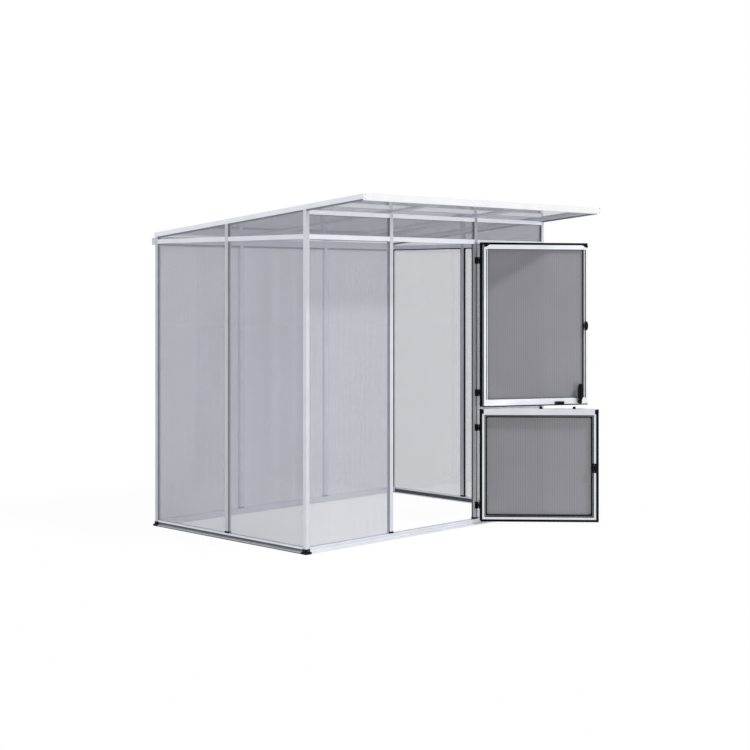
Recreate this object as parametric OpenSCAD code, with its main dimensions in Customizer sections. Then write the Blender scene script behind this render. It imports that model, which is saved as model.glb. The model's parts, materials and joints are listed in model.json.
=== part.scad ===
// Small pent-roof greenhouse: aluminium section frame, twin-wall panels, two-leaf stable door.
// Front wall outer face lies on y = 0, ground on z = 0, x = 0 is the middle of the front.

/* [House] */
// Width over the corner posts
house_w = 2370; // [2000:10:3000]
// Depth over the corner posts
house_d = 1560; // [1200:10:2400]
// Underside of the roof at the front wall
roof_z = 2150; // [2080:10:2400]
// How much lower the roof is at the back wall than at the front wall
roof_fall = 136.5; // [100:0.5:140]
// Roof overhang in front of the front wall
roof_overhang = 512; // [100:2:700]
// Roof overhang past the back wall
eave_overhang = 8; // [4:1:20]

/* [Frame sections] */
// Face width of a mullion and of a rail
bar_w = 30; // [24:1:40]
// Depth of every wall section, and side of a square corner post
bar_d = 28; // [26:1:40]
// Wall of the hollow sections
section_wall = 2.5; // [2:0.25:3]
// Height of the base section
base_h = 42; // [36:1:60]
// How far the foot of the base stands out past the posts
base_toe = 10; // [4:1:20]
// How far the foot of the base stands in past the walls
base_heel = 4; // [2:1:10]
// Height of the foot's edge
base_foot_h = 9; // [6:1:12]
// Height of the lip along the top of the base
base_lip_h = 12; // [8:1:14]
// Depth of the waist between the foot and the lip
base_waist = 6; // [3:0.5:8]
// Distance from the roof's underside at the front down to the door-head rails
head_drop = 184; // [172:1:230]
// Height of the front top rail
top_rail_h = 28; // [20:1:34]

/* [Panels] */
// Thickness of a wall panel
panel_t = 6; // [4:1:8]
// Distance from the outer face to the middle of a wall panel
panel_in = 10; // [9:0.5:13]
// Thickness of a roof panel
roof_panel_t = 8; // [6:1:10]
// Depth of a glazing groove
groove_d = 8; // [5:1:9]
// Play on each side of a panel in its groove
groove_play = 0.4; // [0.1:0.1:0.8]

/* [Roof sections] */
// Height of the roof side section and bars
roof_h = 31; // [26:1:45]
// Width of a roof side section
roof_side_w = 32; // [28:1:45]
// How far the roof side stands out past the posts
roof_side_out = 2; // [0:1:20]
// Height of the front fascia
fascia_h = 44; // [36:1:60]
// Thickness of the front fascia
fascia_t = 24; // [20:1:30]
// How far the fascia stands up above the roof sides
fascia_up = 4; // [0:1:8]
// Height of the seal under the roof sides
roof_seal_h = 10; // [6:1:16]
// Width of the seal under the roof sides
roof_seal_w = 10; // [6:1:14]
// Width of the gutter
gutter_w = 38; // [30:1:60]
// Height of the gutter
gutter_h = 50; // [30:1:60]
// Wall of the gutter
gutter_wall = 3; // [2:0.5:5]
// How far the gutter stands up above the back rail
gutter_up = 12; // [0:1:12]

/* [Door] */
// Distance from the middle of the front to a doorway mullion's middle
door_half = 423; // [380:1:450]
// Gap between the door frames and the doorway
door_gap = 14; // [10:1:17]
// Depth of a leaf frame
leaf_d = 42; // [36:1:50]
// How far the closed leaf stands out past the posts
leaf_out = 8; // [8:1:12]
// Face width of the leaf stiles and top rails
stile_w = 30; // [28:1:40]
// Face height of the upper leaf's bottom rail
upper_sill_h = 43; // [36:1:50]
// Face height of the lower leaf's top rail, most of it behind the ledge
lower_head_h = 52; // [46:1:60]
// Width of the lip that holds the panel in a leaf frame
lip_w = 8; // [6:1:10]
// How much lower than the frame's ridge that lip is
lip_drop = 4; // [2:0.5:6]
// Width of the channel beside the lip
channel_w = 7; // [4:0.5:9]
// Depth of that channel below the frame's ridge
channel_d = 9; // [6:0.5:11]
// Distance from the leaf's outer face to the middle of its panel
leaf_panel_in = 22; // [18:0.5:26]
// Bottom of the lower leaf frame
lower_z = 48; // [48:1:60]
// Top of the ledge on the lower leaf
ledge_top = 818; // [700:1:900]
// Gap between the ledge and the upper leaf
leaf_gap = 9; // [9:0.5:14]
// Gap above the upper leaf frame
head_gap = 5.5; // [5.5:0.5:10]
// How far the rubber flap reaches past a leaf frame
flap_out = 17; // [12:1:17]
// Height of the seal under the upper leaf
flap_under = 8; // [4:0.5:9]
// Thickness of the rubber flap
flap_t = 3; // [2:0.5:3]
// Opening angle of the upper leaf as it stands
upper_open = 151.5; // [0:0.5:165]
// Opening angle of the lower leaf as it stands
lower_open = 132.5; // [0:0.5:165]

/* [Door furniture] */
// Distance from the leaf frame's edge to the hinge pin
hinge_off = 31.5; // [29:0.5:36]
// Distance of the hinge pin in front of the posts
hinge_front = 12; // [11.5:0.5:16]
// Height of a hinge
hinge_h = 46; // [40:1:60]
// Radius of a hinge knuckle
knuckle_r = 6; // [5:0.5:6]
// Radius of a hinge pin
pin_r = 3; // [2:0.5:3.5]
// Distance from a leaf's bottom up to its lower hinge
hinge_up = 90; // [60:1:120]
// Distance from the upper leaf's top down to its upper hinge
upper_hinge_down = 110; // [60:1:140]
// Distance from the lower leaf's top down to its upper hinge
lower_hinge_down = 130; // [60:1:160]
// Height of the ledge section
ledge_h = 42; // [36:1:60]
// How far the ledge stands in past the leaf
ledge_in = 20; // [14:1:30]
// Thickness of the ledge's top
ledge_t = 6; // [4:0.5:8]
// How far the ledge's ends stay inside the leaf's edges
ledge_inset = 10; // [0:1:16]
// Height of the caps on the ledge's ends
cap_h = 29; // [20:1:34]
// How far those caps reach past the leaf's edges
cap_over = 11; // [4:1:11]
// How far those caps stand in past the leaf
cap_t = 12; // [6:1:16]
// Distance from the upper leaf's bottom up to the knob
knob_up = 553; // [300:1:700]
// Height of the knob
knob_h = 64; // [50:1:80]
// Width of the knob
knob_w = 26; // [20:1:30]
// How far the knob stands out
knob_t = 12; // [8:1:16]
// Distance from the leaf's free edge to the bolt
bolt_in = 187; // [140:1:260]
// Length of the bolt's housing
bolt_l = 66; // [50:1:80]
// Height of the bolt's housing
bolt_h = 20; // [14:1:26]
// How far the bolt's housing stands out
bolt_t = 14; // [10:1:18]
// Distance from the leaf's free edge to the lever's pivot
lever_in = 66; // [50:1:90]
// Distance from the upper leaf's bottom up to the lever's pivot
lever_up = 14; // [12:1:20]
// Length of the lever handle
lever_l = 120; // [90:2:140]
// Width of the lever handle at its middle
lever_w = 42; // [30:2:42]
// Width of the lever's boss
lever_boss = 26; // [20:2:28]
// Thickness of the lever
lever_t = 12; // [8:1:14]
// How far the lever stands off the leaf
lever_off = 14; // [8:1:18]
// Distances of the two keepers on the ledge from the leaf's free edge
keeper_in = [152, 381];
// Length of a keeper
keeper_l = 24; // [16:1:30]
// Depth of a keeper
keeper_d = 10; // [6:1:12]
// Height of a keeper
keeper_h = 4; // [2:0.5:4]
// Distance from the lower leaf's bottom up to its latch
latch_up = 327; // [200:1:500]
// Height of the latch
latch_h = 63; // [50:1:80]
// Width of the latch
latch_w = 30; // [20:1:32]
// How far the latch reaches past the leaf's free edge
latch_over = 3; // [0:0.5:5]
// How far the latch stands out
latch_t = 12; // [8:1:16]

/* [Moulded parts] */
// How far a corner connector's plate stands out past the post
plate_over = 10.5; // [4:0.5:14]
// Height of that plate
corner_plate_h = 14; // [8:1:20]
// Height of a corner connector's block, on which the post stands
block_h = 32; // [24:1:34]
// How far a corner connector's block stands out past the post
block_over = 3; // [1:0.5:3]
// Width of the guards on the upper leaf's top corners
guard_w = 40; // [24:1:60]
// Height of those guards
guard_h = 16; // [10:1:24]
// Thickness of those guards
guard_t = 2; // [1:0.5:4]
// Height of a mullion's foot
foot_h = 12; // [8:1:16]
// How far a mullion's foot stands out past the mullion
foot_over = 2; // [1:0.5:2]

/* [Hidden] */

eps = 0.01;
corner_w = bar_d;
half_w = house_w / 2;
mid_y = house_d / 2;
rail_h = bar_w;
rail_z = roof_z - head_drop;
rail_top = rail_z + rail_h;
roof_pitch = atan(roof_fall / house_d);
groove_w = panel_t + 2 * groove_play;
// Where a panel's edge lies inside its groove
seat = groove_d - 1;
end_t = 5;
bays_front = [[-half_w + corner_w, -door_half - bar_w / 2],
    [-door_half + bar_w / 2, door_half - bar_w / 2],
    [door_half + bar_w / 2, half_w - corner_w]];
bays_side = [[corner_w, mid_y - bar_w / 2], [mid_y + bar_w / 2, house_d - corner_w]];
top_rail_z = roof_z - tan(roof_pitch) * bar_d - top_rail_h;
roof_len_front = roof_overhang / cos(roof_pitch);
roof_len_back = (house_d + eave_overhang) / cos(roof_pitch);
roof_groove_z = (roof_h - roof_panel_t) / 2;
roof_groove_h = roof_panel_t + 2 * groove_play;
roof_inner = half_w + roof_side_out - roof_side_w;
fascia_z = roof_h + fascia_up - fascia_h;

silver = "gainsboro";
rubber = "black";
clear_sheet = [0.75, 0.77, 0.8, 0.5];
smoke_sheet = [0.45, 0.45, 0.48, 0.6];

// Height of the roof's underside at a depth y
function roof_under(y) = roof_z - tan(roof_pitch) * y;

// ---- sections ----

// A mullion: grooves left and right, a hollow chamber behind them.
// x runs along the wall from the middle, y from the outer face inwards.
module mullion_section(w = bar_w) {
    difference() {
        translate([-w / 2, 0]) square([w, bar_d]);
        for (side = [-1, 1])
            translate([side * (w / 2 - groove_d / 2 + eps / 2), panel_in])
                square([groove_d + eps, groove_w], center = true);
        translate([-w / 2 + section_wall, panel_in + groove_w / 2 + section_wall])
            square([w - 2 * section_wall, bar_d - panel_in - groove_w / 2 - 2 * section_wall]);
    }
}

// A doorway mullion: one groove, the doorway side is closed. The groove faces -x.
module jamb_section() {
    difference() {
        translate([-bar_w / 2, 0]) square([bar_w, bar_d]);
        translate([-bar_w / 2 + groove_d / 2 - eps / 2, panel_in])
            square([groove_d + eps, groove_w], center = true);
        translate([-bar_w / 2 + groove_d + section_wall, section_wall])
            square([bar_w - groove_d - 2 * section_wall, bar_d - 2 * section_wall]);
    }
}

// A corner post with its outer corner on the origin and grooves along x and y
module corner_section() {
    difference() {
        square(corner_w);
        translate([corner_w - groove_d, panel_in - groove_w / 2])
            square([groove_d + eps, groove_w]);
        translate([panel_in - groove_w / 2, corner_w - groove_d])
            square([groove_w, groove_d + eps]);
        translate([section_wall, section_wall]) square(corner_w - groove_d - 2 * section_wall);
    }
}

// The base: x from the outer face inwards, y up
module base_section() {
    chamber_x = base_waist + section_wall;
    difference() {
        polygon([[-base_toe, 0], [bar_d + base_heel, 0], [bar_d + base_heel, base_foot_h / 2],
            [bar_d, base_foot_h], [bar_d, base_h], [0, base_h], [0, base_h - base_lip_h],
            [base_waist, base_h - base_lip_h - base_waist / 2],
            [base_waist, base_foot_h + base_waist], [-base_toe, base_foot_h]]);
        translate([panel_in - groove_w / 2, base_h - groove_d]) square([groove_w, groove_d + eps]);
        translate([chamber_x, 2 * section_wall])
            square([bar_d - chamber_x - section_wall, base_h - groove_d - 4 * section_wall]);
    }
}

// Lay a section out along x between two ends, its y going to +y and its height to +z
module along_x(x0, x1) {
    translate([x0, 0, 0]) rotate([90, 0, 90]) linear_extrude(x1 - x0) children();
}

// A horizontal rail section: x from the outer face inwards, y up, groove below and above
module rail_section(h, below = true, above = true) {
    difference() {
        square([bar_d, h]);
        if (below)
            translate([panel_in - groove_w / 2, -eps]) square([groove_w, groove_d + eps]);
        if (above)
            translate([panel_in - groove_w / 2, h - groove_d]) square([groove_w, groove_d + eps]);
        translate([panel_in + groove_w / 2 + section_wall, section_wall])
            square([bar_d - panel_in - groove_w / 2 - 2 * section_wall, h - 2 * section_wall]);
    }
}

// ---- placing on the four walls ----

// Each wall is drawn as a front wall with its outer face on y = 0.
module on_left() { translate([-half_w, 0, 0]) mirror([1, 0, 0]) rotate([0, 0, 90]) children(); }
module on_right() { translate([half_w, 0, 0]) rotate([0, 0, 90]) children(); }
module on_back() { translate([0, house_d, 0]) mirror([0, 1, 0]) children(); }

// Cut off whatever stands above the roof's underside
module under_roof() {
    difference() {
        children();
        translate([0, 0, roof_z]) rotate([-roof_pitch, 0, 0])
            translate([-house_w, -house_d, 0]) cube([2 * house_w, 3 * house_d, roof_z]);
    }
}

// ---- base ----

// One base between two corner connectors, cut away over their plates
module base_bar(x0, x1) {
    plate = corner_w + 2 * plate_over;
    color(silver) difference() {
        along_x(x0 + corner_w + block_over, x1 - corner_w - block_over) base_section();
        for (x = [x0 - plate_over, x1 + plate_over - plate])
            translate([x, -plate_over, -1]) cube([plate, 2 * plate, corner_plate_h + 1]);
    }
}
module base_front() { base_bar(-half_w, half_w); }
module base_back() { on_back() base_front(); }
module base_side() { base_bar(0, house_d); }
module base_left() { on_left() base_side(); }
module base_right() { on_right() base_side(); }

module at_corners() {
    translate([-half_w, 0, 0]) children();
    translate([half_w, 0, 0]) mirror([1, 0, 0]) children();
    translate([-half_w, house_d, 0]) mirror([0, 1, 0]) children();
    translate([half_w, house_d, 0]) rotate([0, 0, 180]) children();
}

// A moulded connector: a plate and a block that the bases butt against
module base_corner() {
    plate = corner_w + 2 * plate_over;
    block = corner_w + 2 * block_over;
    translate([-plate_over, -plate_over, 0]) cube([plate, plate, corner_plate_h]);
    translate([-block_over, -block_over, 0]) cube([block, block, block_h]);
}
module base_corners() { color(rubber) at_corners() base_corner(); }

// A moulded foot under a mullion, slotted on the sides where a panel stands
module foot(sides = [-1, 1]) {
    slot_w = groove_d + foot_over;
    translate([0, 0, base_h]) linear_extrude(foot_h) difference() {
        translate([-bar_w / 2 - foot_over, -foot_over])
            square([bar_w + 2 * foot_over, bar_d + 2 * foot_over]);
        for (side = sides)
            translate([side * (bar_w / 2 + foot_over - slot_w / 2 + eps / 2), panel_in])
                square([slot_w + eps, groove_w], center = true);
    }
}
module post_feet() {
    color(rubber) {
        for (side = [-1, 1]) {
            translate([side * door_half, 0, 0]) foot([side]);
            on_back() translate([side * door_half, 0, 0]) foot();
        }
        on_left() translate([mid_y, 0, 0]) foot();
        on_right() translate([mid_y, 0, 0]) foot();
    }
}

// ---- posts ----

module corner_post() {
    translate([0, 0, block_h]) linear_extrude(roof_z) corner_section();
}
module post_front_left() { color(silver) under_roof() translate([-half_w, 0, 0]) corner_post(); }
module post_front_right() { mirror([1, 0, 0]) post_front_left(); }
module post_back_left() {
    color(silver) under_roof() translate([-half_w, house_d, 0]) mirror([0, 1, 0]) corner_post();
}
module post_back_right() { mirror([1, 0, 0]) post_back_left(); }

// Closed on the doorway side, and slotted there above the door head for the middle panel
module latch_post() {
    color(silver) under_roof() difference() {
        translate([-door_half, 0, base_h + foot_h]) linear_extrude(roof_z) jamb_section();
        translate([-door_half + bar_w / 2 - groove_d, panel_in - groove_w / 2, rail_top - groove_d])
            cube([groove_d + 1, groove_w, roof_z]);
    }
}
module hinge_post() { mirror([1, 0, 0]) latch_post(); }

module mullion() { translate([0, 0, base_h + foot_h]) linear_extrude(roof_z) mullion_section(); }
module side_mullions() {
    color(silver) under_roof() {
        on_left() translate([mid_y, 0, 0]) mullion();
        on_right() translate([mid_y, 0, 0]) mullion();
    }
}
module back_mullions() {
    color(silver) under_roof() on_back() for (side = [-1, 1])
        translate([side * door_half, 0, 0]) mullion();
}

// ---- rails ----

module front_rail() {
    color(silver) for (i = [0 : 2]) translate([0, 0, rail_z])
        along_x(bays_front[i][0], bays_front[i][1]) rail_section(rail_h, i != 1, true);
}
module side_rail() {
    color(silver) for (bay = bays_side) translate([0, 0, rail_z])
        along_x(bay[0], bay[1]) rail_section(rail_h);
}
module left_rail() { on_left() side_rail(); }
module right_rail() { on_right() side_rail(); }
module back_rail() {
    color(silver) on_back() for (bay = bays_front) translate([0, 0, rail_z])
        along_x(bay[0], bay[1]) rail_section(rail_h, true, false);
}
module front_top_rail() {
    color(silver) for (bay = bays_front) translate([0, 0, top_rail_z])
        along_x(bay[0], bay[1]) rail_section(top_rail_h, true, false);
}
// Fills the wedge between the back rail and the roof
module eave_rail() {
    color(silver) for (bay = bays_front)
        along_x(bay[0], bay[1]) polygon([[house_d - bar_d, rail_top], [house_d, rail_top],
            [house_d, roof_under(house_d)], [house_d - bar_d, roof_under(house_d - bar_d)]]);
}

// ---- panels ----

// A wall panel that fills a bay between two heights, its edges in the grooves
module bay_panel(bay, z0, z1) {
    translate([bay[0] - seat, panel_in - panel_t / 2, z0 - seat])
        cube([bay[1] - bay[0] + 2 * seat, panel_t, z1 - z0 + 2 * seat]);
}
module front_panels() {
    color(clear_sheet) for (i = [0, 2]) bay_panel(bays_front[i], base_h, rail_z);
}
module back_panels() {
    color(clear_sheet) on_back() for (bay = bays_front) bay_panel(bay, base_h, rail_z);
}
module side_panels() {
    color(clear_sheet) for (bay = bays_side) bay_panel(bay, base_h, rail_z);
}
module left_panels() { on_left() side_panels(); }
module right_panels() { on_right() side_panels(); }
module transom_panels() {
    color(clear_sheet) for (bay = bays_front) bay_panel(bay, rail_top, top_rail_z);
}

// The sloping gable panels between the side rail and the roof
module gables() {
    top_gap = roof_seal_h / cos(roof_pitch) + groove_play;
    color(clear_sheet) for (bay = bays_side)
        translate([0, panel_in + panel_t / 2, 0]) rotate([90, 0, 0]) linear_extrude(panel_t)
            polygon([[bay[0] - seat, rail_top - seat], [bay[1] + seat, rail_top - seat],
                [bay[1] + seat, roof_under(bay[1] + seat) - top_gap],
                [bay[0] - seat, roof_under(bay[0] - seat) - top_gap]]);
}
module left_gables() { on_left() gables(); }
module right_gables() { on_right() gables(); }

// ---- roof ----

// The roof is drawn flat: y down the slope from the front wall, z up from its underside
module on_roof() { translate([0, 0, roof_z]) rotate([-roof_pitch, 0, 0]) children(); }

// A roof side ends in a plate as high as the fascia, which stands between the two sides
module roof_side_left() {
    color(silver) on_roof() translate([-half_w - roof_side_out, 0, 0]) {
        translate([0, roof_len_back, 0])
            rotate([90, 0, 0]) linear_extrude(roof_len_back + roof_len_front - end_t) difference() {
                square([roof_side_w, roof_h]);
                translate([roof_side_w - groove_d, roof_groove_z])
                    square([groove_d + eps, roof_groove_h]);
                translate([section_wall, section_wall])
                    square([roof_side_w - groove_d - 2 * section_wall, roof_h - 2 * section_wall]);
            }
        translate([0, -roof_len_front, fascia_z]) cube([roof_side_w, end_t + eps, fascia_h]);
    }
}
module roof_side_right() { mirror([1, 0, 0]) roof_side_left(); }
module roof_bars() {
    color(silver) on_roof() for (side = [-1, 1])
        translate([side * door_half, roof_len_back, 0]) rotate([90, 0, 0])
            linear_extrude(roof_len_back + roof_len_front - fascia_t) difference() {
                translate([-bar_w / 2, 0]) square([bar_w, roof_h]);
                for (s = [-1, 1]) translate([s * (bar_w / 2 - groove_d / 2 + eps / 2),
                    roof_groove_z + roof_groove_h / 2])
                    square([groove_d + eps, roof_groove_h], center = true);
            }
}
module roof_fascia() {
    color(silver) on_roof() translate([-roof_inner, -roof_len_front, fascia_z])
        rotate([90, 0, 90]) linear_extrude(2 * roof_inner) difference() {
            square([fascia_t, fascia_h]);
            translate([fascia_t - groove_d, roof_groove_z - fascia_z])
                square([groove_d + eps, roof_groove_h]);
            translate([section_wall, section_wall])
                square([fascia_t - groove_d - 2 * section_wall, fascia_h - 2 * section_wall]);
        }
}
module roof_panels() {
    bays = [[-roof_inner, -door_half - bar_w / 2], [-door_half + bar_w / 2, door_half - bar_w / 2],
        [door_half + bar_w / 2, roof_inner]];
    y0 = -roof_len_front + fascia_t - seat;
    color(clear_sheet) on_roof() for (bay = bays)
        translate([bay[0] - seat, y0, roof_groove_z + groove_play])
            cube([bay[1] - bay[0] + 2 * seat, roof_len_back - y0, roof_panel_t]);
}
// The seals stand on the gables and run on under the overhang
module roof_seals() {
    gap = 2;
    color(rubber) for (side = [0, 1]) mirror([side, 0, 0]) on_roof()
        for (run = concat([[fascia_t - roof_overhang, 0]], bays_side))
            translate([-half_w + panel_in - roof_seal_w / 2, run[0] / cos(roof_pitch) + gap,
                -roof_seal_h])
                cube([roof_seal_w, (run[1] - run[0]) / cos(roof_pitch) - 2 * gap, roof_seal_h]);
}
module gutter() {
    bottom = rail_top + gutter_up - gutter_h;
    color(silver) translate([-half_w, house_d, bottom]) difference() {
        cube([house_w, gutter_w, gutter_h]);
        translate([gutter_wall, gutter_wall, gutter_wall])
            cube([house_w - 2 * gutter_wall, gutter_w - 2 * gutter_wall, gutter_h]);
    }
}

// ---- door ----

door_open_half = door_half - bar_w / 2;
leaf_half = door_open_half - door_gap;
leaf_y = -leaf_out;
hinge_x = leaf_half + hinge_off;
hinge_y = -hinge_front;
upper_top = rail_z - head_gap;
upper_z = ledge_top + leaf_gap + flap_under;
lower_top = ledge_top - ledge_t;
inner_y = leaf_y + leaf_d;
upper_hinge_z = [upper_z + hinge_up, upper_top - upper_hinge_down];
lower_hinge_z = [lower_z + hinge_up, lower_top - lower_hinge_down];
lug_h = floor(hinge_h / 3);
hinge_plate_t = 6;
bracket_t = 4;

// The leaves are drawn closed and turned about the hinge pins
module swing(angle) {
    translate([hinge_x, hinge_y, 0]) rotate([0, 0, angle])
        translate([-hinge_x, -hinge_y, 0]) children();
}
module upper() { swing(upper_open) children(); }
module lower() { swing(lower_open) children(); }

// A block centred on the leaf that reaches past the frame's opening by over_x and over_z
module opening_block(z0, z1, y0, y1, over_x, over_z) {
    half = leaf_half - stile_w + over_x;
    translate([-half, y0, z0 - over_z]) cube([2 * half, y1 - y0, z1 - z0 + 2 * over_z]);
}
// A leaf frame: two stiles and two rails with a groove for the panel. Each stile has a ridge
// along its outer edge, then a channel, then a lower lip beside the panel. With all_round the
// rails have them too.
module leaf_ring(z0, z1, bottom_h, top_h, all_round = false) {
    open_z0 = z0 + bottom_h;
    open_z1 = z1 - top_h;
    rails = all_round ? 1 : 0;
    difference() {
        translate([-leaf_half, leaf_y, z0]) cube([2 * leaf_half, leaf_d, z1 - z0]);
        opening_block(open_z0, open_z1, leaf_y - 1, inner_y + 1, 0, 0);
        opening_block(open_z0, open_z1, leaf_y + leaf_panel_in - groove_w / 2,
            leaf_y + leaf_panel_in + groove_w / 2, groove_d, groove_d);
        opening_block(open_z0, open_z1, inner_y - lip_drop, inner_y + 1,
            lip_w + eps, rails * (lip_w + eps));
        difference() {
            opening_block(open_z0, open_z1, inner_y - channel_d, inner_y + 1,
                lip_w + channel_w, rails * (lip_w + channel_w));
            opening_block(open_z0, open_z1, inner_y - channel_d - 1, inner_y + 2,
                lip_w, all_round ? lip_w : 1);
        }
    }
}
module leaf_sheet(z0, z1, bottom_h, top_h) {
    w = 2 * leaf_half - 2 * stile_w + 2 * seat;
    translate([-w / 2, leaf_y + leaf_panel_in - panel_t / 2, z0 + bottom_h - seat])
        cube([w, panel_t, z1 - z0 - bottom_h - top_h + 2 * seat]);
}
// A rubber flap round a leaf, cut out where the frame stands
module flap(z0, z1) {
    difference() {
        translate([-leaf_half - flap_out, leaf_y, z0])
            cube([2 * (leaf_half + flap_out), flap_t, z1 - z0]);
        children();
    }
}

module upper_frame() {
    color(silver) upper() leaf_ring(upper_z, upper_top, upper_sill_h, stile_w);
}
module upper_panel() {
    color(smoke_sheet) upper() leaf_sheet(upper_z, upper_top, upper_sill_h, stile_w);
}
module lower_frame() {
    color(silver) lower() leaf_ring(lower_z, lower_top, stile_w, lower_head_h, true);
}
module lower_panel() {
    color(smoke_sheet) lower() leaf_sheet(lower_z, lower_top, stile_w, lower_head_h);
}

// The upper leaf's seal has a block under the frame and moulded guards on its top corners
module upper_seal() {
    color(rubber) upper() {
        flap(upper_z - flap_under, upper_top + flap_out)
            translate([-leaf_half, leaf_y - 1, upper_z])
                cube([2 * leaf_half, leaf_d, upper_top - upper_z]);
        translate([-leaf_half, leaf_y, upper_z - flap_under])
            cube([2 * leaf_half, leaf_d, flap_under]);
        for (side = [0, 1]) mirror([side, 0, 0])
            translate([-leaf_half, inner_y + guard_t, upper_top]) rotate([90, 0, 0])
                linear_extrude(guard_t) polygon([[0, 0], [0, -guard_h], [0.35 * guard_w, -guard_h],
                    [guard_w, 0]]);
    }
}
// The lower leaf's seal has caps beside the ledge's ends
module lower_seal() {
    color(rubber) lower() {
        flap(lower_z - flap_out, lower_top) translate([-leaf_half, leaf_y - 1, lower_z])
            cube([2 * leaf_half, leaf_d, lower_top - lower_z + 1]);
        for (side = [0, 1]) mirror([side, 0, 0])
            translate([-leaf_half - cap_over, inner_y, lower_top - cap_h])
                cube([cap_over + ledge_inset, cap_t, cap_h]);
    }
}

// The half of a hinge that stays on the post
module hinge_bracket(z) {
    translate([hinge_x, hinge_y, z]) {
        for (s = [-1, 1]) translate([0, 0, s * (hinge_h - lug_h) / 2]) {
            cylinder(r = knuckle_r, h = lug_h, center = true, $fn = 48);
            translate([-knuckle_r, 0, -lug_h / 2]) cube([2 * knuckle_r, hinge_front, lug_h]);
        }
        cylinder(r = pin_r, h = hinge_h, center = true, $fn = 48);
    }
    translate([door_half - bar_w / 2 + 1, -bracket_t, z - hinge_h / 2])
        cube([bar_w - 2, bracket_t, hinge_h]);
}
module hinge_brackets() {
    color(rubber) for (z = concat(lower_hinge_z, upper_hinge_z)) hinge_bracket(z);
}

// The half of a hinge that turns with the leaf
module leaf_hinge(z) {
    knuckle_h = hinge_h - 2 * lug_h - 1;
    plate_gap = knuckle_r + 2;
    plate_l = hinge_off + 0.6 * stile_w - plate_gap;
    plate_y = hinge_front - leaf_out - hinge_plate_t;
    translate([hinge_x, hinge_y, z]) {
        difference() {
            union() {
                cylinder(r = knuckle_r, h = knuckle_h, center = true, $fn = 48);
                translate([-plate_gap - 1, plate_y, -knuckle_h / 2])
                    cube([plate_gap + 1, hinge_plate_t, knuckle_h]);
            }
            cylinder(r = pin_r + 0.2, h = hinge_h, center = true, $fn = 48);
        }
        translate([-plate_gap - plate_l, plate_y, -hinge_h / 2])
            cube([plate_l, hinge_plate_t, hinge_h]);
    }
}
module upper_hinges() { color(rubber) upper() for (z = upper_hinge_z) leaf_hinge(z); }
module lower_hinges() { color(rubber) lower() for (z = lower_hinge_z) leaf_hinge(z); }

module upper_catch() {
    color(rubber) upper() translate([-leaf_half + stile_w / 2, inner_y, upper_z + knob_up])
        rotate([-90, 0, 0]) linear_extrude(knob_t) resize([knob_w, knob_h]) circle(d = knob_h, $fn = 48);
}
module upper_bolt() {
    color(rubber) upper() translate([-leaf_half + bolt_in, inner_y, upper_z])
        cube([bolt_l, bolt_t, bolt_h]);
}
// A round boss on the leaf and an upright handle, bowed on both sides with blunt ends
module lever_handle() {
    bow = 1.25 * lever_l;
    r = (bow * bow + lever_w * lever_w) / (4 * lever_w);
    color(rubber) upper() translate([-leaf_half + lever_in, inner_y + 0.5, upper_z + lever_up])
        rotate([-90, 0, 0]) {
            cylinder(d = lever_boss, h = lever_off + lever_t / 2, $fn = 48);
            translate([0, -lever_l / 2 - 9, lever_off]) intersection() {
                translate([r - lever_w / 2, 0, 0]) cylinder(r = r, h = lever_t, $fn = 96);
                translate([lever_w / 2 - r, 0, 0]) cylinder(r = r, h = lever_t, $fn = 96);
                translate([-lever_w, -lever_l / 2, 0]) cube([2 * lever_w, lever_l, lever_t]);
            }
        }
}
// An angle that caps the lower leaf and hangs down on its inner side
module ledge() {
    l = 2 * (leaf_half - ledge_inset);
    color(silver) lower() translate([-l / 2, 0, 0]) {
        translate([0, leaf_y, lower_top]) cube([l, leaf_d + ledge_in, ledge_t]);
        translate([0, inner_y, ledge_top - ledge_h]) cube([l, ledge_in, ledge_h - ledge_t + eps]);
    }
}
module keepers() {
    color(rubber) lower() for (x = keeper_in)
        translate([-leaf_half + x - keeper_l / 2, inner_y + ledge_in / 4, ledge_top])
            cube([keeper_l, keeper_d, keeper_h]);
}
module lower_latch() {
    color(rubber) lower() translate([-leaf_half - latch_over, inner_y, lower_z + latch_up])
        cube([latch_w, latch_t, latch_h]);
}

base_front();
base_left();
base_right();
base_back();
base_corners();
post_feet();
post_front_left();
post_front_right();
post_back_left();
post_back_right();
latch_post();
hinge_post();
side_mullions();
back_mullions();
front_rail();
left_rail();
right_rail();
back_rail();
front_top_rail();
eave_rail();
front_panels();
left_panels();
right_panels();
back_panels();
transom_panels();
left_gables();
right_gables();
roof_side_left();
roof_side_right();
roof_bars();
roof_fascia();
roof_panels();
roof_seals();
gutter();
hinge_brackets();
upper_frame();
upper_panel();
upper_seal();
upper_hinges();
upper_catch();
upper_bolt();
lower_frame();
lower_panel();
lower_seal();
lower_hinges();
ledge();
lower_latch();
keepers();
lever_handle();
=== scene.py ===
import json
import math

import bmesh
import bpy
from mathutils import Matrix, Vector


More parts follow.
